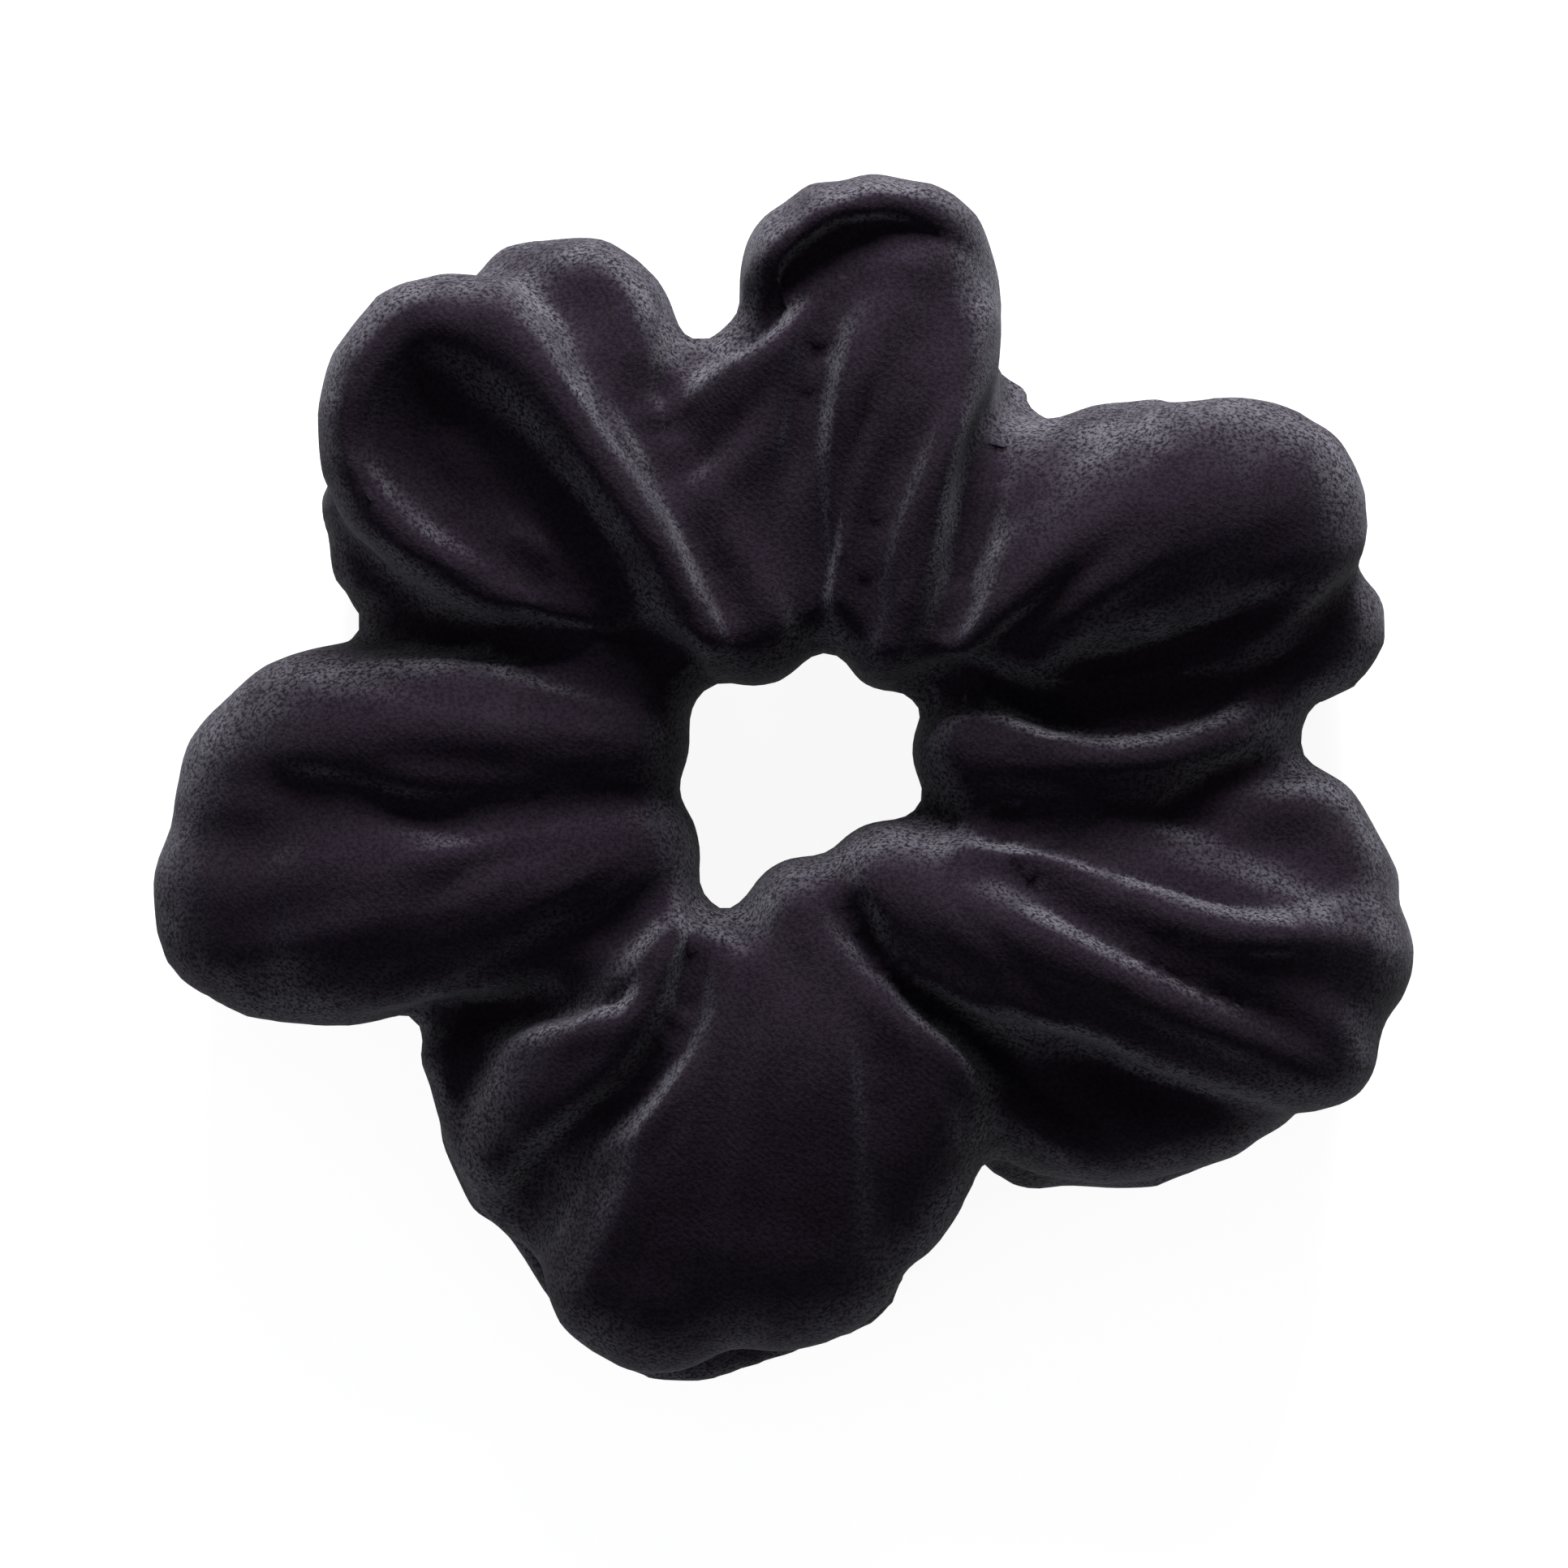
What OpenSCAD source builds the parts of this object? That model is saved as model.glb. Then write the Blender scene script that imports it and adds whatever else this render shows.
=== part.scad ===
// Velvet scrunchie: a gathered velvet tube with a sewn elastic loop inside it.
// Millimetres, +Z up. The origin is the centre of the hair opening, on the surface the scrunchie lies on.
// The loop is parted at x = 0 into a left and a right half. They draw apart along X as the elastic stretches.

/* [Velvet tube] */
// Reach of the largest puff, from the centre of the hair opening
puff_reach = 62; // [56:1:68]
// Height of the tallest puff when the scrunchie lies flat
puff_height = 36; // [30:1:42]
// Width of the hair opening, between facing gathers
opening_d = 21; // [16:1:26]
// Thickness of the velvet, pile included
velvet_t = 1.2; // [0.8:0.1:1.6]

/* [Elastic loop] */
// Diameter of the relaxed loop, to the middle of the elastic
loop_d = 50; // [46:1:54]
// Width of the flat elastic
elastic_w = 6; // [4:0.5:8]
// Thickness of the flat elastic
elastic_t = 1.2; // [0.8:0.1:1.6]
// Length over which the two ends of the elastic lap
lap_l = 12; // [10:1:16]

/* [Thread] */
// Diameter of the sewing thread, as a swept round
thread_d = 0.6; // [0.4:0.1:0.8]
// Length of one stitch in the elastic's lap
stitch_l = 1.6; // [1.2:0.1:2]

/* [Hidden] */

// Outer outline, anticlockwise: [angle, share of puff_reach, share of puff_height].
// Puffs and the notches between them, each one point, with two or three for a broad puff.
OUTLINE = [
    [2, 0.70, 0.72],
    [20, 0.93, 0.95], [40, 0.85, 0.92],
    [56, 0.63, 0.72],
    [85, 0.92, 1.00],
    [108, 0.64, 0.70],
    [117, 0.88, 0.85], [132, 0.93, 0.97], [150, 0.87, 0.90],
    [164, 0.75, 0.72],
    [173, 0.94, 0.90], [184, 1.00, 1.00], [203, 0.88, 0.90],
    [212, 0.71, 0.68],
    [226, 0.83, 0.78], [243, 0.87, 0.88], [259, 0.97, 0.95], [284, 0.86, 0.85],
    [294, 0.71, 0.70],
    [320, 0.98, 0.95], [345, 0.96, 0.96]
];

velvet_color = [0.09, 0.075, 0.10];
elastic_color = [0.08, 0.08, 0.085];
thread_color = [0.05, 0.045, 0.055];

opening_r = opening_d / 2;
loop_r = loop_d / 2;
// The left and right halves stand this far apart when the loop is relaxed
part_gap = 0.3;
// Angle between the cross-sections along the ring
ring_step = 5;
// Points round one cross-section of the velvet, and round one of thread
section_n = 20;
thread_n = 8;
// A cross-section is an oval whose middle is below half its height, cut flat where it lies on the surface
section_mid = 0.42;
// Clear space between thread and velvet
thread_clear = 0.3;
// Where the tube's ends are sewn together, and where the elastic's ends lap
closing_a = 212;
lap_a = 190;
// Rows of stitches along the lap, and the height between them
lap_rows = [-1, 0, 1];
lap_row_h = 1.8;
lap_stitches = 5;
// The loop lies level, in the middle of the tube where its puffs are low
low_puff = 0.85;
loop_z = section_mid * puff_height * low_puff;
// The lapped end sinks this far into the loop, so that the two are one piece
lap_weld = 0.05;
// Outer face of the lapped end, where the stitches lie
lap_face_r = loop_r + elastic_t / 2 + elastic_t;
lap_sweep = lap_l / loop_r * 180 / PI;

// Smooth step from 0 to 1
function ease(t) = (1 - cos(180 * t)) / 2;

// Column of OUTLINE at any angle, eased from one point to the next
function outline_at(angle, column) =
    let (
        turn = (angle % 360 + 360) % 360,
        n = len(OUTLINE),
        passed = [for (i = [0:n - 1]) if (OUTLINE[i][0] <= turn) i],
        i = len(passed) == 0 ? n - 1 : passed[len(passed) - 1],
        k = (i + 1) % n,
        span = (OUTLINE[k][0] - OUTLINE[i][0] + 360) % 360,
        t = ((turn - OUTLINE[i][0] + 360) % 360) / span
    )
    OUTLINE[i][column] + (OUTLINE[k][column] - OUTLINE[i][column]) * ease(t);

function reach_at(angle) = puff_reach * outline_at(angle, 1);
function height_at(angle) = puff_height * outline_at(angle, 2);
function middle_z(angle) = section_mid * height_at(angle);

// Point of the velvet's cross-section at one angle of the ring, lying inset inside the outer face
function section_point(angle, around, inset) =
    let (
        half_w = (reach_at(angle) - opening_r) / 2,
        middle_r = opening_r + half_w,
        half_h = height_at(angle) - middle_z(angle),
        r = middle_r + (half_w - inset) * cos(around),
        z = max(inset, middle_z(angle) + (half_h - inset) * sin(around))
    )
    [r * cos(angle), r * sin(angle), z];

// One ring of points at an angle of the loop: the outer face, then the inner face
function velvet_ring(angle) = concat(
    [for (j = [0:section_n - 1]) section_point(angle, j * 360 / section_n, 0)],
    [for (j = [0:section_n - 1]) section_point(angle, j * 360 / section_n, velvet_t)]
);

// The two triangles between points a, b of one ring and points c, d beside them
function two_triangles(a, b, c, d) = [[a, b, c], [b, d, c]];

// Skin between neighbouring rings of `size` points: `first` is its first point in a ring, `n` its count
function skin_faces(rings, size, first, n, flip) = [
    for (i = [0:rings - 2], j = [0:n - 1])
        let (
            a = i * size + first + j,
            b = i * size + first + (j + 1) % n
        )
        each flip ? two_triangles(b, a, b + size, a + size) : two_triangles(a, b, a + size, b + size)
];

// Band that closes the wall at one end, between the outer and the inner face
function wall_end_faces(start, n, flip) = [
    for (j = [0:n - 1])
        let (
            a = start + j,
            b = start + (j + 1) % n
        )
        each flip ? two_triangles(b, a, b + n, a + n) : two_triangles(a, b, a + n, b + n)
];

// Half of the velvet tube, one hollow wall from one parting face to the other
module velvet_half(from) {
    angles = [for (a = [from:ring_step:from + 180]) a];
    size = 2 * section_n;
    last = (len(angles) - 1) * size;
    polyhedron(
        points = [for (a = angles) each velvet_ring(a)],
        faces = concat(
            skin_faces(len(angles), size, 0, section_n, false),
            skin_faces(len(angles), size, section_n, section_n, true),
            wall_end_faces(0, section_n, true),
            wall_end_faces(last, section_n, false)
        )
    );
}

// Round thread swept through a list of rings, with its ends closed flat
module open_thread(rings) {
    last = (len(rings) - 1) * thread_n;
    polyhedron(
        points = [for (ring = rings) each ring],
        faces = concat(
            skin_faces(len(rings), thread_n, 0, thread_n, false),
            [[for (j = [0:thread_n - 1]) thread_n - 1 - j]],
            [[for (j = [0:thread_n - 1]) last + j]]
        )
    );
}

// Ring of thread points in the upright plane through the Z axis at one angle
function long_thread_ring(angle) =
    let (
        r = reach_at(angle) - velvet_t - thread_clear - thread_d / 2,
        z = middle_z(angle)
    )
    [for (j = [0:thread_n - 1])
        let (
            around = j * 360 / thread_n,
            out = r + thread_d / 2 * cos(around)
        )
        [out * cos(angle), out * sin(angle), z + thread_d / 2 * sin(around)]
    ];

// Half of the lockstitch that closes the long edges, inside the outer rim
module long_seam_half(from) {
    open_thread([for (a = [from:ring_step:from + 180]) long_thread_ring(a)]);
}

// Half of the flat elastic loop, standing on edge
module elastic_half(from) {
    rotate([0, 0, from])
        rotate_extrude(angle = 180, $fn = 96)
            translate([loop_r - elastic_t / 2, loop_z - elastic_w / 2])
                square([elastic_t, elastic_w]);
}

// Arc of a band on the lap: its inner radius, thickness, height, low edge and angles
module lap_arc(inner_r, thick, high, low_z, from, sweep) {
    rotate([0, 0, from])
        rotate_extrude(angle = sweep, $fn = 96)
            translate([inner_r, low_z])
                square([thick, high]);
}

module part_left() {
    translate([-part_gap / 2, 0, 0])
        children();
}

module part_right() {
    translate([part_gap / 2, 0, 0])
        children();
}

module velvet_tube_left() {
    color(velvet_color)
        part_left()
            velvet_half(90);
}

module velvet_tube_right() {
    color(velvet_color)
        part_right()
            velvet_half(-90);
}

// The left half holds the lap, where one end of the strip lies on the other
module elastic_loop_left() {
    color(elastic_color)
        part_left()
            union() {
                elastic_half(90);
                lap_arc(loop_r + elastic_t / 2 - lap_weld, elastic_t + lap_weld, elastic_w, loop_z - elastic_w / 2,
                    lap_a - lap_sweep / 2, lap_sweep);
            }
}

module elastic_loop_right() {
    color(elastic_color)
        part_right()
            elastic_half(-90);
}

module long_seam_thread_left() {
    color(thread_color)
        part_left()
            long_seam_half(90);
}

module long_seam_thread_right() {
    color(thread_color)
        part_right()
            long_seam_half(-90);
}

// Ring of stitching inside the tube, where its two ends are sewn to each other
module closing_seam_thread() {
    inset = velvet_t + thread_clear + thread_d / 2;
    path = [for (j = [0:section_n - 1]) section_point(closing_a, j * 360 / section_n, inset)];
    middle = [
        for (axis = [0:2])
            (max([for (p = path) p[axis]]) + min([for (p = path) p[axis]])) / 2
    ];
    side = [-sin(closing_a), cos(closing_a), 0];
    rings = [
        for (p = path)
            let (
                outward = (p - middle) / norm(p - middle)
            )
            [for (k = [0:thread_n - 1])
                let (
                    around = k * 360 / thread_n
                )
                p + thread_d / 2 * (cos(around) * outward - sin(around) * side)
            ]
    ];
    color(thread_color)
        part_left()
            polyhedron(
                points = [for (ring = rings) each ring],
                faces = [
                    for (i = [0:section_n - 1], j = [0:thread_n - 1])
                        let (
                            next = (i + 1) % section_n,
                            a = i * thread_n + j,
                            b = i * thread_n + (j + 1) % thread_n,
                            c = next * thread_n + j,
                            d = next * thread_n + (j + 1) % thread_n
                        )
                        each two_triangles(a, b, c, d)
                ]
            );
}

// Rows of straight stitches that hold the elastic's two ends together
module elastic_lap_stitches() {
    stitch_sweep = stitch_l / loop_r * 180 / PI;
    pitch = lap_sweep / lap_stitches;
    color(thread_color)
        part_left()
            for (row = lap_rows, i = [0:lap_stitches - 1])
                lap_arc(
                    lap_face_r,
                    thread_d / 2,
                    thread_d,
                    loop_z + row * lap_row_h - thread_d / 2,
                    lap_a - lap_sweep / 2 + (i + 0.5) * pitch - stitch_sweep / 2,
                    stitch_sweep
                );
}

velvet_tube_left();
velvet_tube_right();
elastic_loop_left();
elastic_loop_right();
long_seam_thread_left();
long_seam_thread_right();
closing_seam_thread();
elastic_lap_stitches();
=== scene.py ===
"""Velvet scrunchie: a puffed velvet tube, its elastic loop and its seams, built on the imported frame."""
import math

import bmesh
import bpy
from bpy.props import FloatProperty, FloatVectorProperty, IntProperty, PointerProperty
from mathutils import Matrix, Vector, noise
from mathutils.bvhtree import BVHTree
from mathutils.kdtree import KDTree


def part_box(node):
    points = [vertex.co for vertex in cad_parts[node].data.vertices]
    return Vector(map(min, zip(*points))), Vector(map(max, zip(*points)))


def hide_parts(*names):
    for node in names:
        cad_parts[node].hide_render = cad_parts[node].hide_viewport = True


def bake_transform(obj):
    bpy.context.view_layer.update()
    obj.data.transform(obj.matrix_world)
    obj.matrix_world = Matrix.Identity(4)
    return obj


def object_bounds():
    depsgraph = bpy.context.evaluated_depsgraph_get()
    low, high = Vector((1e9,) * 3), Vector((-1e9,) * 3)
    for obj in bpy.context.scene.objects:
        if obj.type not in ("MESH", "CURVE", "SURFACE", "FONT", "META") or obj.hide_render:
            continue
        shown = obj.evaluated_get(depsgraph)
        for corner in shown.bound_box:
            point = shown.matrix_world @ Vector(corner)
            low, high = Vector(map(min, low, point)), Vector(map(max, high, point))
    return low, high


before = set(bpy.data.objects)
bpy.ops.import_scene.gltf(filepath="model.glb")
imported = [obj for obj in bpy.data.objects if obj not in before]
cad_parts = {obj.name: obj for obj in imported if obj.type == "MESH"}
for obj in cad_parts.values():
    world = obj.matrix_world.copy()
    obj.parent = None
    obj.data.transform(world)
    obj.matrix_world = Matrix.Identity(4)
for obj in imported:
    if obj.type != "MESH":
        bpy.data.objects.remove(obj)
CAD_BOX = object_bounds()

bl_info = {
    "name": "Velvet Scrunchie",
    "version": (1, 0, 0),
    "blender": (4, 5, 0),
    "location": "View3D > Sidebar > Scrunchie",
    "description": "Builds a velvet scrunchie round its elastic loop",
    "category": "Add Mesh",
}

# The box round the left half of the velvet tube
TUBE_LOW, TUBE_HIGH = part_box("velvet_tube_left")

# Puff coordinates are millimetres on a scrunchie that reaches this far to the left of the opening's centre
LEFT_REACH = 62.15
MM = -TUBE_LOW[0] / LEFT_REACH

# Folds of the ruffle, most of them from the hair opening outwards: points of
# (x, y, z, half width, half height), in puff coordinates
PUFFS = {
    "left upper": [(-18, 3, 17, 7, 12), (-32, 3, 18, 9.5, 13.5), (-44, 1, 18, 11.5, 13.5),
                   (-49, -2, 17.5, 11.5, 13)],
    "left lower": [(-18, -8, 17, 8, 12), (-32, -10, 18, 11.5, 13.5), (-45, -11.5, 18, 12.5, 13.5),
                   (-51.5, -12, 17, 11.5, 13)],
    "left shoulder": [(-15, 9, 16, 5, 11), (-26, 9, 16, 5, 12)],
    "left hem": [(-36, -18, 8, 5, 6.5), (-46, -17, 7, 7, 6), (-53, -12, 7, 7, 6)],
    "upper left bowl": [(-19, 18, 17, 6, 11), (-27, 26, 18, 8, 12), (-34, 32, 19, 9, 13)],
    "upper left bowl fold": [(-20, 17, 20, 2.5, 9), (-27, 22, 23, 3, 8.5), (-33, 24, 20, 2.5, 9)],
    "upper left rim": [(-9, 13, 21, 4.5, 12), (-14, 21, 25, 4, 10), (-20, 31, 27, 4.2, 8.5),
                       (-29, 41, 26, 5, 9), (-38, 41, 25, 4.5, 9), (-43, 32, 25, 3.6, 9),
                       (-39, 23, 25, 3.4, 9), (-29, 17, 24, 3.4, 9), (-19, 13, 22, 4, 10)],
    "upper left back": [(-13, 30, 14, 5, 11), (-16, 38, 18, 5, 13), (-19, 45, 17, 5.5, 13),
                        (-26, 45, 16, 6, 12)],
    "upper left frill": [(-33, 15, 11, 5, 10), (-38, 17, 11, 4.5, 10), (-42, 20, 11, 4, 10),
                         (-43, 26, 12, 4, 11)],
    "top cap": [(-3, 43, 17, 3.5, 13), (-1, 49, 19, 5, 13), (5, 52, 20, 4.8, 13), (12, 50, 19, 5, 13),
                (15, 44, 17, 4, 12)],
    "top left": [(-5, 14, 20, 6, 12), (-7, 25, 20, 8, 12), (-4, 36, 21, 7, 12.5), (0, 43, 22, 4.5, 12)],
    "top middle": [(3, 16, 20, 4.5, 12), (4, 27, 21, 5, 13), (6, 38, 23, 5.5, 12.5),
                   (9, 46, 23, 5.5, 11)],
    "top right": [(8, 12, 20, 4.5, 12), (10, 22, 21, 5, 13), (12.5, 33, 22, 5.5, 13),
                  (14, 42, 21, 5, 12)],
    "top right under": [(15, 24, 13, 4, 11), (17, 34, 12, 4.5, 11), (19, 36, 10, 3, 9)],
    "top valley": [(-12, 24, 15, 6, 11), (-14, 32, 14, 5, 11)],
    "upper right": [(14, 12, 19, 5, 12), (25, 19, 21, 9.5, 14), (35, 24, 22, 11, 13.5),
                    (43, 25, 21, 10.5, 13)],
    "upper right back": [(16, 22, 17, 5, 12), (23, 26, 18, 7.5, 13), (32, 28, 18, 8, 13)],
    "upper right under": [(28, 10, 12, 5, 11), (40, 11, 13, 7, 12), (49, 14, 13, 7, 11.5)],
    "right middle": [(16, 2, 17, 6, 12), (28, 1, 18, 7, 12.5), (38, 4, 16, 6, 12), (43, 8, 14, 6, 12)],
    "lower right flap": [(40, -6, 14, 5, 11), (47, -5, 14, 6, 11), (51, -11, 15, 6, 12)],
    "lower right upper": [(16, -7, 18, 4, 12), (28, -10, 19, 5, 13), (42, -15, 20, 6, 13),
                          (50.5, -18, 19, 7.5, 12.5)],
    "lower right lower": [(8, -11, 19, 6.5, 12), (20, -16, 21, 7.5, 14), (33, -20, 22, 7.5, 13),
                          (47, -24.5, 20, 8, 13)],
    "lower right under": [(18, -27, 14, 6, 11), (25, -33, 12, 6.5, 11), (36, -32, 12, 6.5, 11),
                          (44, -28, 12, 6, 11)],
    "lower right hem": [(22, -34.5, 6, 6, 5.5), (34, -34, 6, 6, 5.5), (46, -28, 6, 5, 5.5)],
    "bottom middle": [(0, -14, 18, 6, 12), (-1, -28, 20, 11, 13.5), (-3, -42, 20, 13.5, 13)],
    "bottom left": [(-7, -18, 18, 4, 12), (-12, -32, 19, 7, 13), (-15, -47, 18, 10.5, 12.5)],
    "bottom right": [(7, -20, 18, 5, 12), (10, -29, 18, 8.5, 13), (6, -38, 18, 9.5, 13)],
    "bottom hem": [(-24, -43, 6, 6, 5.5), (-14, -48.5, 6, 10.5, 5.5), (0, -46, 6, 10, 5.5)],
    "lower left": [(-12, -16, 18, 4.5, 12), (-18, -24, 18, 7, 13), (-25, -31, 17, 7, 12.5),
                   (-29, -36, 15, 5.5, 12)],
    "lower left frill": [(-31, -22, 11, 5, 9), (-34, -27, 12, 3, 9), (-33, -33, 11, 3, 9),
                         (-31, -39, 10, 3.2, 8.5), (-26, -43, 11, 4, 9)],
}

# The elastic's ends lap at this angle round the opening
LAP_ANGLE = math.radians(190)

# The puffs are joined this much too large, in puff coordinates, then drawn back in: it closes slits
# between them
CLOSING = 0.9

# Creases pressed into the upper faces, and small folds raised from them (a depth below zero):
# (depth in millimetres, points of (x, y) in puff coordinates)
CREASES = [
    (1.6, [(-9, 8), (-15, 12), (-23, 12.5), (-35, 12.5), (-45, 12)]),
    (0.9, [(-50, -1), (-42, -2), (-33, -5), (-22, -3.5)]),
    (0.7, [(-24, -7), (-31, -9), (-38, -14)]),
    (2.5, [(-16, -20), (-23, -21.5), (-34, -23.5), (-46, -25)]),
    (2.6, [(-10, -12), (-11.5, -22), (-14.5, -28), (-20, -33), (-28, -40)]),
    (0.9, [(-5.5, -13), (-9, -23), (-12, -33), (-13.5, -45)]),
    (0.5, [(-1, -16), (0, -24), (-2, -31)]),
    (2.4, [(3, -12), (8, -18.5), (14, -23.5), (22, -30), (31, -37)]),
    (-1.4, [(5, -14.5), (12, -19), (27, -23.5), (38, -28), (47, -31)]),
    (2.2, [(12, -4.5), (22, -6), (31, -9), (41, -12), (51, -12)]),
    (1.8, [(17, -8), (24, -12.5), (35, -19), (44, -23), (51, -28)]),
    (-1, [(30, -12), (38, -15), (47, -15.5), (56, -17)]),
    (1.6, [(8, 8), (15, 10), (20, 13), (26, 19), (33, 24)]),
    (2.2, [(10, 6), (17, 8), (26, 5), (35, 5.5), (44, 9.5), (52, 16)]),
    (-1.3, [(20, 10), (27, 8.5), (35, 10.5), (45, 15.5), (53, 22)]),
    (1.8, [(11, 11), (14, 15), (16, 27), (18, 33), (21, 38)]),
    (1.2, [(5, 13), (5.5, 18), (6.5, 24), (10.5, 32), (16, 38)]),
    (1.4, [(1, 12), (1, 17), (3.5, 27), (6.5, 35), (9, 43)]),
    (1, [(-1, 27), (0, 34), (1, 39), (2.5, 46)]),
    (2.2, [(-9, 38), (-4, 43), (1, 48), (6.5, 50.5), (13.5, 50), (18, 46)]),
    (1.3, [(-5, 12), (-8, 17), (-12, 24), (-17, 31), (-22, 39), (-26, 45)]),
    (-1, [(-16, 33), (-12, 34), (-8, 37), (-2, 42)]),
    (1, [(-13, 27), (-9, 30), (-2, 37)]),
]


class ScrunchieVelvet(bpy.types.PropertyGroup):
    """Sizes and colours of the velvet tube."""

    strip_width: FloatProperty(name="Strip width", description="Width the velvet is cut to",
                               default=0.1, unit="LENGTH")
    strip_length: FloatProperty(name="Strip length", description="Length the velvet is cut to",
                                default=0.4, unit="LENGTH")
    thickness: FloatProperty(name="Thickness", description="Thickness of the velvet, pile included",
                             default=0.001, unit="LENGTH")
    cell: FloatProperty(name="Cell", description="Spacing of the cloth's grid while it settles",
                        default=0.0011, unit="LENGTH")
    fullness: FloatProperty(name="Fullness",
                            description="Radial ease of the cloth, which puckers as it settles",
                            default=0.0045, unit="LENGTH")
    settle_frames: IntProperty(name="Settling", description="Frames over which the cloth settles",
                               default=16)
    most_move: FloatProperty(name="Most movement", description="Furthest that a point may settle",
                             default=0.003, unit="LENGTH")
    face_color: FloatVectorProperty(name="Face", description="Velvet seen straight down its pile",
                                    default=(0.0068, 0.0046, 0.0079), subtype="COLOR")
    # A painted sheen: this colour is painted into the velvet's base colour where it is seen side on
    painted_sheen_color: FloatVectorProperty(name="Sheen", description="Velvet seen along its pile",
                                     default=(0.06, 0.058, 0.068), subtype="COLOR")


class ScrunchieElastic(bpy.types.PropertyGroup):
    """Sizes and colour of the elastic loop."""

    ribs: IntProperty(name="Ribs", description="Ribs across the width of the braided elastic", default=7)
    rib_depth: FloatProperty(name="Rib depth", description="Depth of the grooves between ribs",
                             default=0.00012, unit="LENGTH")
    lap: FloatProperty(name="Lap", description="Length over which the two ends lap",
                       default=0.012, unit="LENGTH")
    color: FloatVectorProperty(name="Elastic", description="Colour of the elastic",
                               default=(0.02, 0.02, 0.022), subtype="COLOR")


class ScrunchieThread(bpy.types.PropertyGroup):
    """Sizes and colour of the sewing thread."""

    thickness: FloatProperty(name="Thickness", description="Diameter of the thread",
                             default=0.0004, unit="LENGTH")
    stitch: FloatProperty(name="Stitch", description="Length of one stitch", default=0.0026, unit="LENGTH")
    color: FloatVectorProperty(name="Thread", description="Colour of the thread",
                               default=(0.012, 0.011, 0.014), subtype="COLOR")


class ScrunchieStage(bpy.types.PropertyGroup):
    """The floor, lights and camera."""

    view_width: FloatProperty(name="View", description="Width that the camera takes in, at mid height",
                              default=0.1488, unit="LENGTH")
    camera_height: FloatProperty(name="Camera height", description="Height of the camera over the middle",
                                 default=0.62, unit="LENGTH")
    floor_color: FloatVectorProperty(name="Floor", description="Colour of the floor",
                                     default=(0.2, 0.2, 0.2), subtype="COLOR")


# ---------------------------------------------------------------- materials

def new_material(name, color, roughness):
    """A material with its Principled shader, ready for more nodes."""
    material = bpy.data.materials.new(name)
    material.use_nodes = True
    shader = material.node_tree.nodes["Principled BSDF"]
    shader.inputs["Base Color"].default_value = (*color, 1)
    shader.inputs["Roughness"].default_value = roughness
    return material, material.node_tree, shader


def add_node(tree, kind, **values):
    """A node of the given kind, with its named inputs or properties set."""
    node = tree.nodes.new(kind)
    for name, value in values.items():
        if hasattr(node, name):
            setattr(node, name, value)
        else:
            node.inputs[name.replace("_", " ").title()].default_value = value
    return node


def mixed_color(tree, factor, low, high):
    """The output of a mix of two colours by a factor; either colour may be a socket."""
    # The node has a set of sockets for each data type, and these are the places of the colour ones
    first_color, second_color, mixed = 6, 7, 2
    mix = add_node(tree, "ShaderNodeMix", data_type="RGBA")
    tree.links.new(factor, mix.inputs["Factor"])
    for socket, color in ((mix.inputs[first_color], low), (mix.inputs[second_color], high)):
        if isinstance(color, bpy.types.NodeSocket):
            tree.links.new(color, socket)
        else:
            socket.default_value = (*color, 1)
    return mix.outputs[mixed]


def toned(color, factor):
    """A colour made darker or lighter by a factor."""
    return tuple(factor * channel for channel in color)


def ramp(tree, source, start, end):
    """A smooth 0 to 1 ramp of a value between start and end."""
    node = add_node(tree, "ShaderNodeMapRange", interpolation_type="SMOOTHSTEP")
    node.inputs["From Min"].default_value = start
    node.inputs["From Max"].default_value = end
    tree.links.new(source, node.inputs["Value"])
    return node.outputs["Result"]


def product(tree, a, b):
    """The product of a socket and another socket or number."""
    node = add_node(tree, "ShaderNodeMath", operation="MULTIPLY")
    tree.links.new(a, node.inputs[0])
    if isinstance(b, bpy.types.NodeSocket):
        tree.links.new(b, node.inputs[1])
    else:
        node.inputs[1].default_value = b
    return node.outputs[0]


def add_bump(tree, shader, height, strength, distance):
    """Make a surface look raised by a height socket, up to a distance."""
    bump = add_node(tree, "ShaderNodeBump")
    bump.inputs["Strength"].default_value = strength
    bump.inputs["Distance"].default_value = distance
    tree.links.new(height, bump.inputs["Height"])
    tree.links.new(bump.outputs["Normal"], shader.inputs["Normal"])


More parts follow.
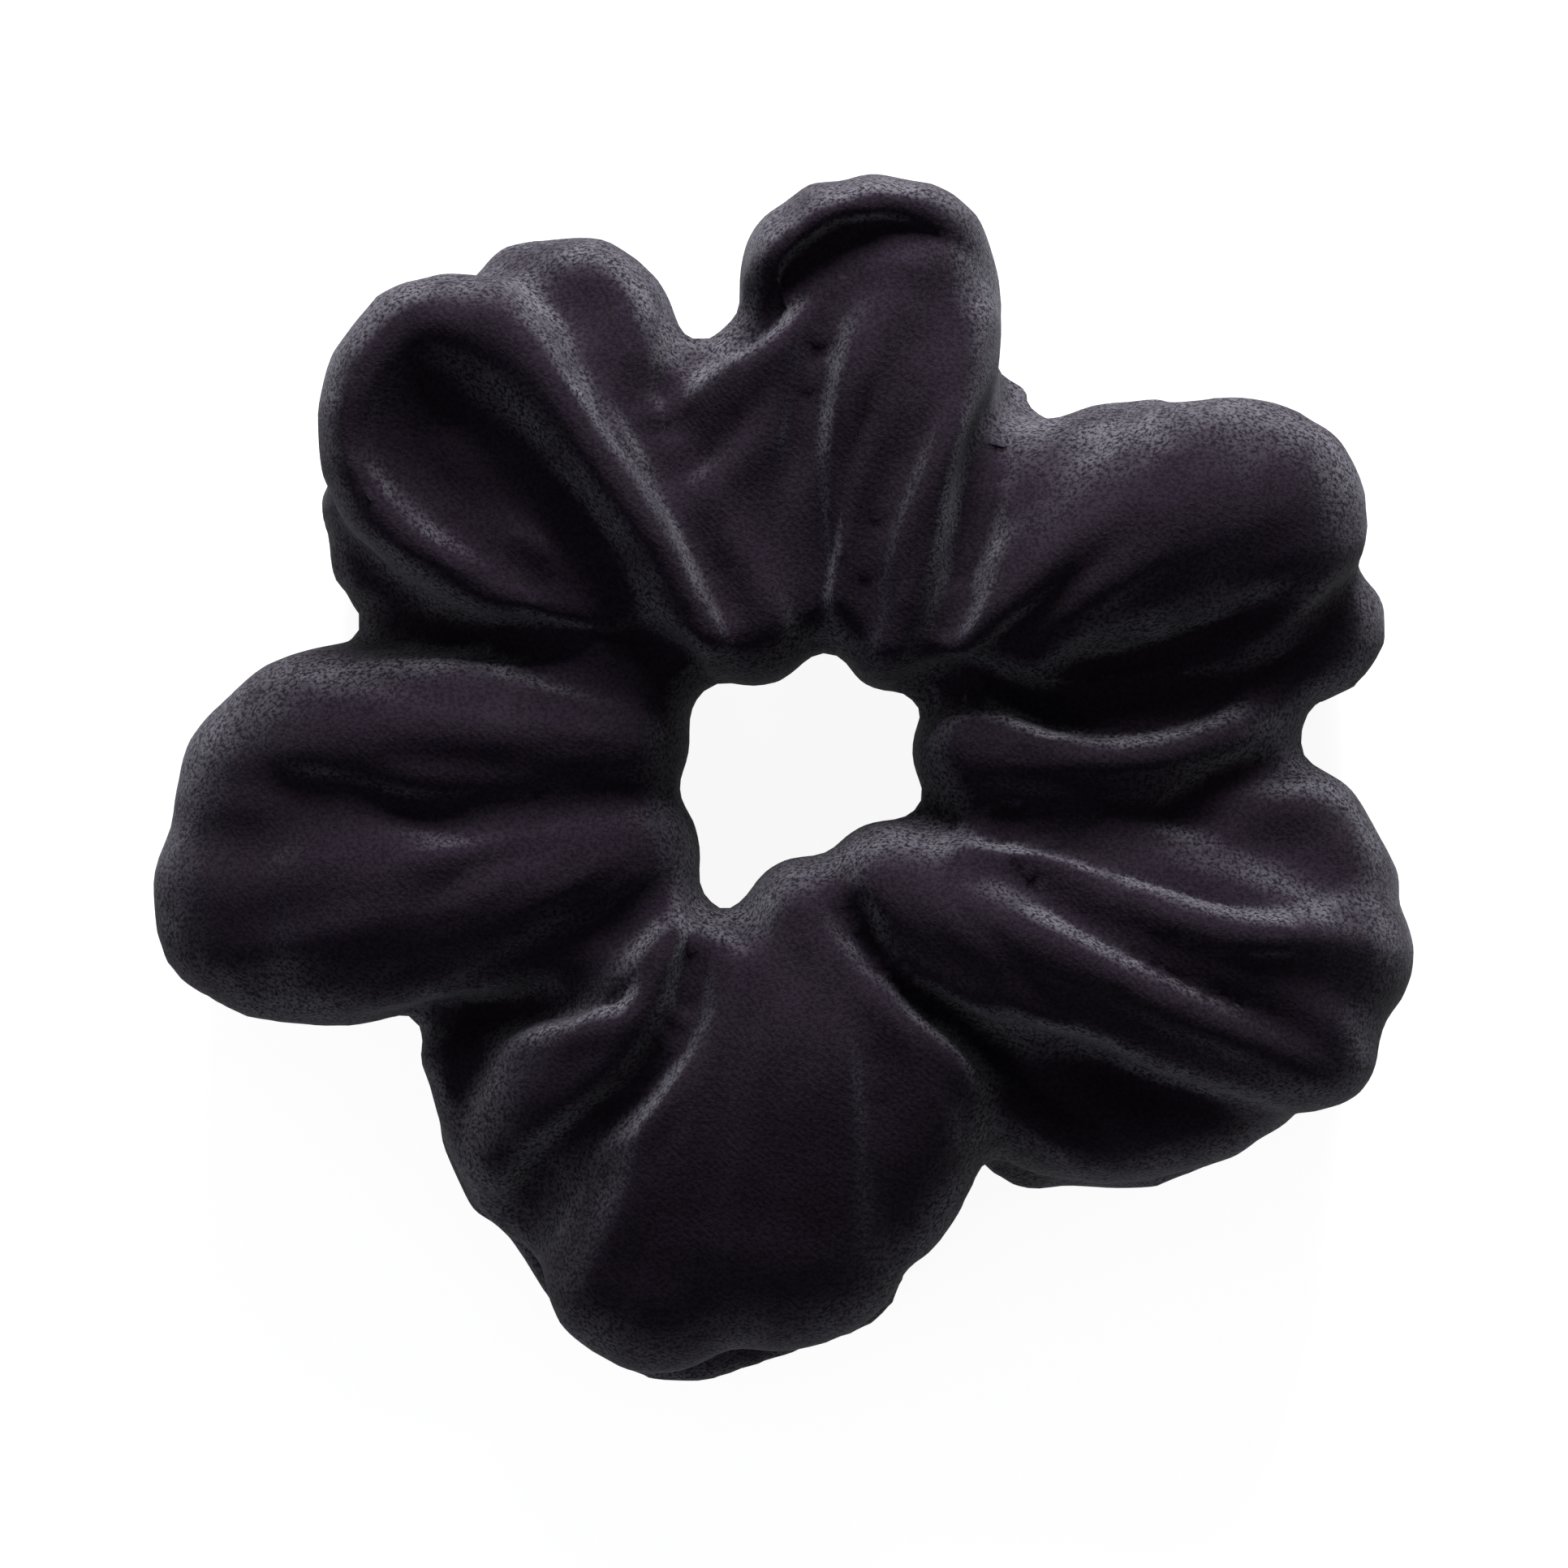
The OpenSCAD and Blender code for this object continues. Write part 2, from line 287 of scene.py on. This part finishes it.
def velvet_material(settings):
    """Short-pile knitted velvet: near black down the pile, with a painted sheen of cool grey in its colour
    where it is seen side on, and brushed patches.
    """
    material, tree, shader = new_material("black velvet", settings.face_color, 0.85)
    shader.inputs["Specular IOR Level"].default_value = 0.03
    shader.inputs["Sheen Weight"].default_value = 0.06
    shader.inputs["Sheen Roughness"].default_value = 0.4
    shader.inputs["Sheen Tint"].default_value = (0.72, 0.72, 0.82, 1)
    place = add_node(tree, "ShaderNodeTexCoord").outputs["Object"]
    pile = add_node(tree, "ShaderNodeTexNoise", scale=2700, detail=2.5, roughness=0.7)
    brushed = add_node(tree, "ShaderNodeTexNoise", scale=95, detail=3, roughness=0.55, distortion=1.2)
    ribs = add_node(tree, "ShaderNodeTexWave", scale=760, distortion=3, detail=2, detail_scale=1.5)
    ribs.bands_direction = "DIAGONAL"
    for texture in (pile, brushed, ribs):
        tree.links.new(place, texture.inputs["Vector"])
    facing = add_node(tree, "ShaderNodeLayerWeight")
    facing.inputs["Blend"].default_value = 0.42
    # Painted sheen: the colour turns towards the sheen colour as the pile is seen side on, broken up by
    # brushed patches and by the pile itself
    side_on = ramp(tree, facing.outputs["Facing"], start=0.1, end=0.5)
    patchy = ramp(tree, brushed.outputs["Fac"], start=0.1, end=0.75)
    grain = ramp(tree, pile.outputs["Fac"], start=0.36, end=0.62)
    lit = product(tree, product(tree, side_on, patchy), grain)
    deep = mixed_color(tree, grain, toned(settings.face_color, 0.62), toned(settings.face_color, 1.3))
    tree.links.new(mixed_color(tree, lit, deep, tuple(settings.painted_sheen_color)), shader.inputs["Base Color"])
    # The pile stands up from the surface, and the knit's ribs stand up by a share of its height
    rib_share = 0.1
    relief = add_node(tree, "ShaderNodeMath", operation="MULTIPLY_ADD")
    relief.inputs[1].default_value = rib_share
    tree.links.new(ribs.outputs["Fac"], relief.inputs[0])
    tree.links.new(pile.outputs["Fac"], relief.inputs[2])
    add_bump(tree, shader, relief.outputs[0], strength=0.45, distance=0.0003)
    roughness = ramp(tree, brushed.outputs["Fac"], start=-0.9, end=0.9)
    tree.links.new(roughness, shader.inputs["Roughness"])
    return material


def elastic_material(settings):
    """Braided elastic: matt yarn over rubber, with a fine slanting braid."""
    material, tree, shader = new_material("braided elastic", settings.color, 0.7)
    place = add_node(tree, "ShaderNodeTexCoord").outputs["Object"]
    braid = add_node(tree, "ShaderNodeTexWave", scale=420, distortion=0.6, detail=1)
    braid.bands_direction = "DIAGONAL"
    yarn = add_node(tree, "ShaderNodeTexNoise", scale=3200, detail=2)
    for texture in (braid, yarn):
        tree.links.new(place, texture.inputs["Vector"])
    color = mixed_color(tree, braid.outputs["Fac"], toned(settings.color, 0.5), toned(settings.color, 1.7))
    tree.links.new(color, shader.inputs["Base Color"])
    weave = product(tree, braid.outputs["Fac"], yarn.outputs["Fac"])
    add_bump(tree, shader, weave, strength=0.6, distance=0.0001)
    return material


def thread_material(settings):
    """Spun polyester thread, with its twist showing as fine bands."""
    material, tree, shader = new_material("sewing thread", settings.color, 0.55)
    place = add_node(tree, "ShaderNodeTexCoord").outputs["Object"]
    twist = add_node(tree, "ShaderNodeTexWave", scale=900, distortion=1.0)
    twist.bands_direction = "DIAGONAL"
    tree.links.new(place, twist.inputs["Vector"])
    color = mixed_color(tree, twist.outputs["Fac"], toned(settings.color, 0.6), toned(settings.color, 1.6))
    tree.links.new(color, shader.inputs["Base Color"])
    add_bump(tree, shader, twist.outputs["Fac"], strength=0.5, distance=0.00005)
    return material


def floor_material(color):
    """Pale matt floor, lit from within like a light table."""
    material, tree, shader = new_material("pale floor", color, 0.9)
    shader.inputs["Specular IOR Level"].default_value = 0.0
    shader.inputs["Emission Color"].default_value = (1, 1, 1, 1)
    shader.inputs["Emission Strength"].default_value = 0.92
    speckle = add_node(tree, "ShaderNodeTexNoise", scale=40, detail=2)
    tree.links.new(add_node(tree, "ShaderNodeTexCoord").outputs["Object"], speckle.inputs["Vector"])
    tone = mixed_color(tree, speckle.outputs["Fac"], toned(color, 0.99), tuple(color))
    tree.links.new(tone, shader.inputs["Base Color"])
    return material


# ---------------------------------------------------------------- mesh helpers

def add_piece(name, bm, material):
    """A piece at the origin, made from a bmesh that is then freed."""
    mesh = bpy.data.meshes.new(name)
    bm.to_mesh(mesh)
    bm.free()
    piece = bpy.data.objects.new(name, mesh)
    bpy.context.scene.collection.objects.link(piece)
    if material:
        mesh.materials.append(material)
    for face in mesh.polygons:
        face.use_smooth = True
    return piece


def add_swept(bm, place, rows, columns):
    """A closed skin: place(u, v) gives the point u along it and v round it, both from 0 to 1."""
    grid = bmesh.ops.create_grid(bm, x_segments=rows, y_segments=columns, size=0.5)["verts"]
    for vert in grid:
        vert.co = place(vert.co.x + 0.5, vert.co.y + 0.5)
    bmesh.ops.remove_doubles(bm, verts=grid, dist=1e-7)


def eased(a, b, c, d, t):
    """Point t of the way from b to c on the smooth curve through a, b, c and d."""
    square = 2 * a - 5 * b + 4 * c - d
    cube = 3 * b - a - 3 * c + d
    return 0.5 * (2 * b + (c - a) * t + square * t * t + cube * t ** 3)


def along(points, t):
    """Point t of the way, from 0 to 1, along a smooth curve through points."""
    last = len(points) - 1
    i = min(int(t * last), last - 1)
    return eased(points[max(i - 1, 0)], points[i], points[i + 1], points[min(i + 2, last)], t * last - i)


def add_puff(bm, points):
    """One fold: an oval tube along its points, with round ends and a base that comes close to the table."""
    rows, columns = 30, 24
    # Shares of the tube's length: each round end, and the step over which its heading is taken
    end_share, heading_step = 0.2, 0.02
    # What the far end loses: a share of its half height, and some height over the table
    thinning, droop = 0.28, 2
    # Room under the base, and the most that the base may hang below the tube's half height
    table_gap, most_hang = 0.5, 3.5
    stations = [Vector(p) for p in points]

    def place(u, v):
        turn = 2 * math.pi * v
        t = min(max((u - end_share) / (1 - 2 * end_share), 0), 1)
        x, y, z, half_w, half_h = along(stations, t)
        half_w += CLOSING
        half_h = half_h * (1 - thinning * u * u) + CLOSING
        z -= droop * u * u
        ahead = along(stations, min(t + heading_step, 1)) - along(stations, max(t - heading_step, 0))
        forward = Vector((ahead[0], ahead[1], 0)).normalized()
        side = Vector((-forward.y, forward.x, 0))
        past = 0
        if u < end_share:
            past = u / end_share - 1
        elif u > 1 - end_share:
            past = 1 - (1 - u) / end_share
        lean = math.radians(90) * past
        deep = min(z - table_gap + CLOSING, half_h + most_hang)
        up = (half_h if turn < math.pi else deep) * math.sin(turn)
        ring = side * half_w * math.cos(turn) + Vector((0, 0, up))
        return (Vector((x, y, z)) + forward * half_w * math.sin(lean) + ring * math.cos(lean)) * MM

    add_swept(bm, place, rows, columns)


def remeshed(piece, cell):
    """A bmesh of one even outer skin round everything in a piece, which is then removed."""
    modifier = piece.modifiers.new("skin", "REMESH")
    modifier.mode = "VOXEL"
    modifier.voxel_size = cell
    mesh = bpy.data.meshes.new_from_object(piece.evaluated_get(bpy.context.evaluated_depsgraph_get()))
    bpy.data.objects.remove(piece)
    bm = bmesh.new()
    bm.from_mesh(mesh)
    largest = max(skins(bm), key=len)
    bmesh.ops.delete(bm, geom=[v for v in bm.verts if v not in largest], context="VERTS")
    return bm


def skins(bm):
    """The separate skins of a bmesh, each as a set of its vertices."""
    left = set(bm.verts)
    found = []
    while left:
        skin = set()
        waiting = [next(iter(left))]
        while waiting:
            vert = waiting.pop()
            if vert in skin:
                continue
            skin.add(vert)
            waiting.extend(edge.other_vert(vert) for edge in vert.link_edges)
        left -= skin
        found.append(skin)
    return found


def smooth(bm, factor):
    """Draw every vertex by a factor of the way towards the middle of its neighbours."""
    bmesh.ops.smooth_vert(bm, verts=bm.verts, factor=factor,
                          use_axis_x=True, use_axis_y=True, use_axis_z=True)


# ---------------------------------------------------------------- velvet

def fill_pits(bm):
    """Lift vertices that sit in a pinhole or a very sharp slit up to the average of their neighbours."""
    sharp, hollow, passes = 0.0002, 0.00003, 26
    for _ in range(passes):
        for vert in bm.verts:
            around = [edge.other_vert(vert).co for edge in vert.link_edges]
            rises = [(point - vert.co).dot(vert.normal) for point in around]
            if sum(rises) / len(rises) > sharp or min(rises) > hollow:
                vert.co = sum(around, Vector()) / len(around)
        bm.normal_update()


def settle(piece, settings):
    """Let the cloth settle: it is cut with some ease, so it puckers, and air keeps the puffs full."""
    hold, table_gap = 0.12, 0.0003
    mesh = piece.data
    start = [v.co.copy() for v in mesh.vertices]
    piece.shape_key_add(name="Basis")
    eased_out = piece.shape_key_add(name="cut size")
    for key, point in zip(eased_out.data, start):
        outward = Vector((point.x, point.y, 0)).normalized()
        key.co = point + outward * settings.fullness
    held = piece.vertex_groups.new(name="held")
    for index in range(len(start)):
        held.add([index], hold, "REPLACE")
    cloth = piece.modifiers.new("cloth", "CLOTH")
    values = cloth.settings
    values.quality = 4
    values.mass = 0.15
    values.tension_stiffness = values.compression_stiffness = 15
    values.shear_stiffness = 5
    values.bending_stiffness = 8
    values.air_damping = 2
    values.vertex_group_mass = "held"
    values.use_pressure = True
    values.uniform_pressure_force = 4
    values.effector_weights.gravity = 0
    values.rest_shape_key = eased_out
    cloth.collision_settings.use_self_collision = False
    cloth.point_cache.frame_end = settings.settle_frames
    scene = bpy.context.scene
    for step in range(1, settings.settle_frames + 1):
        scene.frame_set(step)
    settled = bpy.data.meshes.new_from_object(piece.evaluated_get(bpy.context.evaluated_depsgraph_get()))
    for vert, point in zip(settled.vertices, start):
        move = vert.co - point
        move.length = min(move.length, settings.most_move)
        vert.co = point + move
        vert.co.z = max(vert.co.z, table_gap)
    scene.frame_set(1)
    bpy.data.objects.remove(piece)
    return settled


def crease_line(points, steps):
    """Even points along a crease, in metres, on the table."""
    stations = [Vector((*p, 0)) * MM for p in points]
    return [along(stations, i / steps) for i in range(steps + 1)]


def crease_fade(share, rise):
    """How much of its depth a crease has, share of the way along it, where the face turns up by rise."""
    at_start, fade_in, fade_out, fade_up = 0.25, 5, 3, 4
    return min(1, fade_in * share + at_start, fade_out * (1 - share)) * min(1, fade_up * rise)


def crease_form(away, raised):
    """A crease's height for a depth of 1, away widths from its middle: a soft groove, or a fold."""
    roll, roll_away, sharpness, fold_width = 0.3, 1.9, 1.3, 0.8
    if raised:
        return -math.exp(-((away / fold_width) ** 2))
    return roll * math.exp(-((away - roll_away) ** 2)) - math.exp(-(away ** sharpness))


def press_creases(bm):
    """Press the creases into the upper faces, and raise the small folds from them."""
    # A crease's width, how many widths it reaches, and the unit of its depth
    width, reach, unit = 0.0016, 4, 0.001
    steps = 80
    facing_up, least_height = 0.05, 0.009
    upper = [v for v in bm.verts if v.normal.z > facing_up and v.co.z > least_height]
    tree = KDTree(len(upper))
    for index, vert in enumerate(upper):
        tree.insert((vert.co.x, vert.co.y, 0), index)
    tree.balance()
    for depth, points in CREASES:
        nearest = {}
        for step, point in enumerate(crease_line(points, steps)):
            for _, index, distance in tree.find_range(point, reach * width):
                if distance < nearest.get(index, (1, 0))[0]:
                    nearest[index] = (distance, step / steps)
        for index, (distance, share) in nearest.items():
            vert = upper[index]
            fade = crease_fade(share, vert.normal.z - facing_up)
            form = crease_form(distance / width, depth < 0)
            vert.co += vert.normal * unit * depth * fade * form


def pucker(bm):
    """Small uneven puckers all round, which fade out towards the opening."""
    # How often each noise changes, round the scrunchie and outwards, and how far it moves the cloth
    broad_round, broad_out, broad_depth = 3, 30, 0.0006
    fine_round, fine_out, fine_depth = 14, 60, 0.0005
    fine_layer = 5
    # Radius up to which there are no puckers, and the distance over which they come in
    calm, fade = 0.014, 0.012
    for vert in bm.verts:
        point = vert.co
        radius = math.hypot(point.x, point.y)
        angle = math.atan2(point.y, point.x)
        x, y = math.cos(angle), math.sin(angle)
        broad = noise.noise(Vector((broad_round * x, broad_round * y, broad_out * radius)))
        fine = noise.noise(Vector((fine_round * x, fine_round * y, fine_out * radius + fine_layer)))
        away = min(1, max(0, (radius - calm) / fade))
        vert.co += vert.normal * away * (broad_depth * broad + fine_depth * fine)


def rim_radius(tree, angle, height):
    """How far out the velvet reaches at an angle and a height, found by a ray from well outside it."""
    outside = 0.1
    out = Vector((math.cos(angle), math.sin(angle), 0))
    hit = tree.ray_cast(out * outside + Vector((0, 0, height)), -out)[0]
    return math.hypot(hit.x, hit.y)


def seam_path(tree, height, steps, inset):
    """Points along the long seam: just inside the outer rim, all the way round, and evened out."""
    windows_round = 60
    reach = [rim_radius(tree, 2 * math.pi * i / steps, height) for i in range(steps)]
    window = steps // windows_round
    inner = [min(reach[(i + k) % steps] for k in range(-window, window + 1)) for i in range(steps)]
    even = [sum(inner[(i + k) % steps] for k in range(-window, window + 1)) / (2 * window + 1)
            for i in range(steps)]
    path = []
    for i in range(steps):
        angle = 2 * math.pi * i / steps
        radius = min(even[i], inner[i]) - inset
        path.append(Vector((radius * math.cos(angle), radius * math.sin(angle), height)))
    return path


def sew_seam_groove(bm, height):
    """Draw the long seam in: a narrow groove round the rim, pulled tight at every few stitches."""
    width, depth, pull = 0.0011, 0.0013, 0.0045
    # The groove is sewn where the cloth faces this much outwards, and its pull ends this many widths away
    least_outward, reach = 0.45, 6
    # How far the seam strays up and down, how often, and the layer of noise that it follows
    stray, stray_rate, stray_layer = 0.0022, 45, 3
    # How tight the stitches are on average, and how much that changes along the seam
    mean_tight, tight_change = 0.65, 0.35
    # Gathers beside the groove: their depth, and how many widths they fade over
    gather_depth, gather_reach = 0.0005, 3
    for vert in bm.verts:
        out = Vector((vert.co.x, vert.co.y, 0)).normalized()
        if vert.normal.dot(out) < least_outward:
            continue
        place = Vector((vert.co.x * stray_rate, vert.co.y * stray_rate, stray_layer))
        off = abs(vert.co.z - height - stray * noise.noise(place))
        if off > reach * width:
            continue
        along_rim = math.atan2(vert.co.y, vert.co.x) * math.hypot(vert.co.x, vert.co.y)
        tight = mean_tight + tight_change * math.sin(2 * math.pi * along_rim / pull)
        gathers = gather_depth * tight * math.exp(-off / (gather_reach * width))
        vert.co -= vert.normal * (depth * tight * math.exp(-((off / width) ** 2)) + gathers)


def seam_height():
    """Height of the long seam over the table, from the tube's own height."""
    share = 0.3
    return share * (TUBE_HIGH[2] - TUBE_LOW[2])


def velvet_mesh(settings):
    """The velvet's outer skin as a bmesh: puffs joined, settled, then creased and sewn."""
    joining_smooths = 2
    bm = bmesh.new()
    for points in PUFFS.values():
        add_puff(bm, points)
    bmesh.ops.recalc_face_normals(bm, faces=bm.faces)
    bm = remeshed(add_piece("puffs", bm, None), settings.cell)
    for _ in range(joining_smooths):
        smooth(bm, factor=0.5)
    bmesh.ops.recalc_face_normals(bm, faces=bm.faces)
    bm.normal_update()
    fill_pits(bm)
    drawn_in = [vert.co - vert.normal * CLOSING * MM for vert in bm.verts]
    for vert, point in zip(bm.verts, drawn_in):
        vert.co = point
    mesh = settle(add_piece("settling velvet", bm, None), settings)
    bm = bmesh.new()
    bm.from_mesh(mesh)
    bm.normal_update()
    press_creases(bm)
    smooth(bm, factor=0.25)
    bm.normal_update()
    pucker(bm)
    bm.normal_update()
    sew_seam_groove(bm, seam_height())
    return bm


class SCRUNCHIE_OT_velvet(bpy.types.Operator):
    """Add the gathered velvet tube"""

    bl_idname = "scrunchie.add_velvet"
    bl_label = "Velvet tube"

    def execute(self, context):
        settings = context.scene.scrunchie_velvet
        velvet = add_piece("velvet_tube", velvet_mesh(settings), velvet_material(settings))
        wall = velvet.modifiers.new("wall", "SOLIDIFY")
        wall.thickness = settings.thickness
        wall.offset = -1
        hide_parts("velvet_tube_left", "velvet_tube_right")
        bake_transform(velvet)
        return {"FINISHED"}


# ---------------------------------------------------------------- elastic

def elastic_profile(bm, inner, outer, low, high, settings):
    """The ribbed outline of the flat elastic, standing on edge in the XZ plane."""
    rib_steps, corner_share = 4, 0.12
    steps = rib_steps * settings.ribs
    corner = corner_share * (outer - inner)
    points = []
    for face, way in ((outer, 1), (inner, -1)):
        for i in range(steps + 1):
            share = i / steps if way > 0 else 1 - i / steps
            dip = settings.rib_depth * math.cos(math.pi * settings.ribs * share) ** 2
            points.append(Vector((face - way * (dip + (corner if share in (0, 1) else 0)), 0,
                                  low + (high - low) * share)))
    verts = [bm.verts.new(p) for p in points]
    edges = [bm.edges.new((verts[i], verts[(i + 1) % len(verts)])) for i in range(len(verts))]
    return verts + edges


def elastic_mesh(settings):
    """The elastic: one full turn, and the lap where its far end lies on the outside."""
    inset, thickness, lap_bite = 0.00015, 0.0012, 0.0001
    turn_steps, lap_steps = 180, 16
    low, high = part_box("elastic_loop_right")
    outer = high[0] - inset
    inner = outer - thickness
    lap_inner = outer - lap_bite
    bm = bmesh.new()
    ring = elastic_profile(bm, inner, outer, low[2], high[2], settings)
    bmesh.ops.spin(bm, geom=ring, cent=(0, 0, 0), axis=(0, 0, 1), angle=2 * math.pi, steps=turn_steps,
                   use_merge=True)
    lap_turn = settings.lap / outer
    lap = elastic_profile(bm, lap_inner, lap_inner + thickness, low[2], high[2], settings)
    bmesh.ops.spin(bm, geom=lap, cent=(0, 0, 0), axis=(0, 0, 1), angle=lap_turn, steps=lap_steps)
    bmesh.ops.holes_fill(bm, edges=[e for e in bm.edges if e.is_boundary], sides=0)
    skin = max(skins(bm), key=len)
    lapped = [v for v in bm.verts if v not in skin]
    lap_start = LAP_ANGLE - lap_turn / 2
    bmesh.ops.rotate(bm, verts=lapped, cent=(0, 0, 0), matrix=Matrix.Rotation(lap_start, 3, "Z"))
    bmesh.ops.recalc_face_normals(bm, faces=bm.faces)
    return bm


class SCRUNCHIE_OT_elastic(bpy.types.Operator):
    """Add the braided elastic loop with its lap"""

    bl_idname = "scrunchie.add_elastic"
    bl_label = "Elastic loop"

    def execute(self, context):
        settings = context.scene.scrunchie_elastic
        loop = add_piece("elastic_loop", elastic_mesh(settings), elastic_material(settings))
        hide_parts("elastic_loop_left", "elastic_loop_right")
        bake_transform(loop)
        return {"FINISHED"}


# ---------------------------------------------------------------- thread

def add_stitch(bm, begin, finish, thickness):
    """One stitch: a short round bar with drawn-in ends."""
    rows, columns = 5, 6
    upright = 0.1
    forward = (finish - begin).normalized()
    side = forward.cross(Vector((0, 0, 1)))
    if side.length < upright:
        side = forward.cross(Vector((1, 0, 0)))
    side.normalize()
    up = side.cross(forward)

    def place(u, v):
        turn = 2 * math.pi * v
        radius = 0.5 * thickness * math.sin(math.pi * min(max(u, 0), 1)) ** 0.5
        return begin.lerp(finish, u) + radius * (side * math.cos(turn) + up * math.sin(turn))

    add_swept(bm, place, rows, columns)


def add_stitches(bm, path, settings):
    """Stitches in a row along a closed path, with a small gap after each."""
    stitch_share = 0.9
    lengths = [(path[(i + 1) % len(path)] - path[i]).length for i in range(len(path))]
    total = sum(lengths)
    count = round(total / settings.stitch)

    def at(distance):
        distance %= total
        for i, length in enumerate(lengths):
            if distance <= length:
                return path[i].lerp(path[(i + 1) % len(path)], distance / length)
            distance -= length
        return path[0]

    for k in range(count):
        add_stitch(bm, at(k * total / count), at((k + stitch_share) * total / count), settings.thickness)


def add_seam(name, path, settings, material):
    """A piece made of stitches along a closed path."""
    bm = bmesh.new()
    add_stitches(bm, path, settings)
    bmesh.ops.recalc_face_normals(bm, faces=bm.faces)
    return add_piece(name, bm, material)


def closing_path(tree, angle, inset, steps):
    """Points of the ring where the tube's two ends are sewn together, inside the velvet at one angle."""
    least_radius = 0.004
    low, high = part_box("elastic_loop_right")
    out = Vector((math.cos(angle), math.sin(angle), 0))
    middle = out * high[0] + Vector((0, 0, (low[2] + high[2]) / 2))
    path = []
    for i in range(steps):
        turn = 2 * math.pi * i / steps
        way = out * math.cos(turn) + Vector((0, 0, math.sin(turn)))
        distance = tree.ray_cast(middle, way)[3]
        path.append(middle + way * max(distance - inset, least_radius))
    return path


class SCRUNCHIE_OT_thread(bpy.types.Operator):
    """Add the long seam and the closing seam, and give the stitches in the elastic's lap the thread
    material
    """

    bl_idname = "scrunchie.add_thread"
    bl_label = "Seams and stitches"

    def execute(self, context):
        settings = context.scene.scrunchie_thread
        wall = context.scene.scrunchie_velvet.thickness
        # Each seam lies this many cloth thicknesses inside the velvet's face
        long_inset, closing_inset = 2.2, 1.8
        long_steps, closing_steps = 720, 48
        closing_angle = math.radians(212)
        material = thread_material(settings)
        velvet = bpy.data.objects["velvet_tube"]
        surface = bmesh.new()
        surface.from_mesh(velvet.data)
        tree = BVHTree.FromBMesh(surface)
        surface.free()
        path = seam_path(tree, seam_height(), long_steps, long_inset * wall)
        long_seam = add_seam("long_seam_stitches", path, settings, material)
        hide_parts("long_seam_thread_left", "long_seam_thread_right")
        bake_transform(long_seam)
        path = closing_path(tree, closing_angle, closing_inset * wall, closing_steps)
        closing = add_seam("closing_seam_stitches", path, settings, material)
        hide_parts("closing_seam_thread")
        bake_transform(closing)
        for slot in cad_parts["elastic_lap_stitches"].material_slots:
            slot.material = material
        return {"FINISHED"}


# ---------------------------------------------------------------- stage

def add_area_light(name, place, target, size, power, color):
    """A soft square light that faces a target."""
    data = bpy.data.lights.new(name, "AREA")
    data.size = size
    data.energy = power
    data.color = color
    light = bpy.data.objects.new(name, data)
    light.location = place
    light.rotation_euler = (Vector(target) - Vector(place)).to_track_quat("-Z", "Y").to_euler()
    bpy.context.scene.collection.objects.link(light)


class SCRUNCHIE_OT_stage(bpy.types.Operator):
    """Add the pale floor, the soft lights and the camera looking straight down"""

    bl_idname = "scrunchie.add_stage"
    bl_label = "Stage"

    def execute(self, context):
        scene = context.scene
        settings = scene.scrunchie_stage
        low, high = CAD_BOX
        middle = Vector(((low[0] + high[0]) / 2, (low[1] + high[1]) / 2, 0))
        bm = bmesh.new()
        bmesh.ops.create_grid(bm, x_segments=1, y_segments=1, size=5)
        floor = add_piece("floor", bm, floor_material(settings.floor_color))
        world = bpy.data.worlds.new("soft studio")
        world.use_nodes = True
        background = world.node_tree.nodes["Background"]
        background.inputs["Color"].default_value = (0.97, 0.98, 1, 1)
        background.inputs["Strength"].default_value = 0.3
        scene.world = world
        aim = (0, 0, 0.02)
        add_area_light("key", place=(0.04, 0.6, 0.24), target=aim, size=0.3, power=19, color=(1, 1, 1))
        add_area_light("fill", place=(-0.4, -0.25, 0.3), target=aim, size=0.4, power=0.6,
                       color=(0.93, 0.95, 1))
        lens = bpy.data.cameras.new("camera")
        lens.sensor_width = 36
        mid_height = (low[2] + high[2]) / 2
        lens.lens = lens.sensor_width * (settings.camera_height - mid_height) / settings.view_width
        camera = bpy.data.objects.new("camera", lens)
        camera.location = middle + Vector((0, 0, settings.camera_height))
        scene.collection.objects.link(camera)
        scene.camera = camera
        scene.view_settings.view_transform = "Standard"
        return {"FINISHED"}


class SCRUNCHIE_PT_panel(bpy.types.Panel):
    """Lists the scrunchie's pieces in the sidebar"""

    bl_idname = "SCRUNCHIE_PT_panel"
    bl_label = "Velvet scrunchie"
    bl_space_type = "VIEW_3D"
    bl_region_type = "UI"
    bl_category = "Scrunchie"

    def draw(self, context):
        for operator in OPERATORS:
            self.layout.operator(operator.bl_idname)


OPERATORS = (SCRUNCHIE_OT_velvet, SCRUNCHIE_OT_elastic, SCRUNCHIE_OT_thread, SCRUNCHIE_OT_stage)
SETTINGS = {
    "scrunchie_velvet": ScrunchieVelvet,
    "scrunchie_elastic": ScrunchieElastic,
    "scrunchie_thread": ScrunchieThread,
    "scrunchie_stage": ScrunchieStage,
}


def register():
    """Register the settings, operators and panel."""
    for cls in (*SETTINGS.values(), *OPERATORS, SCRUNCHIE_PT_panel):
        bpy.utils.register_class(cls)
    for name, cls in SETTINGS.items():
        setattr(bpy.types.Scene, name, PointerProperty(type=cls))


def unregister():
    """Remove the settings, operators and panel."""
    for name in SETTINGS:
        delattr(bpy.types.Scene, name)
    for cls in reversed((*SETTINGS.values(), *OPERATORS, SCRUNCHIE_PT_panel)):
        bpy.utils.unregister_class(cls)


def main():
    register()
    bpy.ops.scrunchie.add_stage()
    bpy.ops.scrunchie.add_velvet()
    bpy.ops.scrunchie.add_elastic()
    bpy.ops.scrunchie.add_thread()


if __name__ == "__main__":
    main()
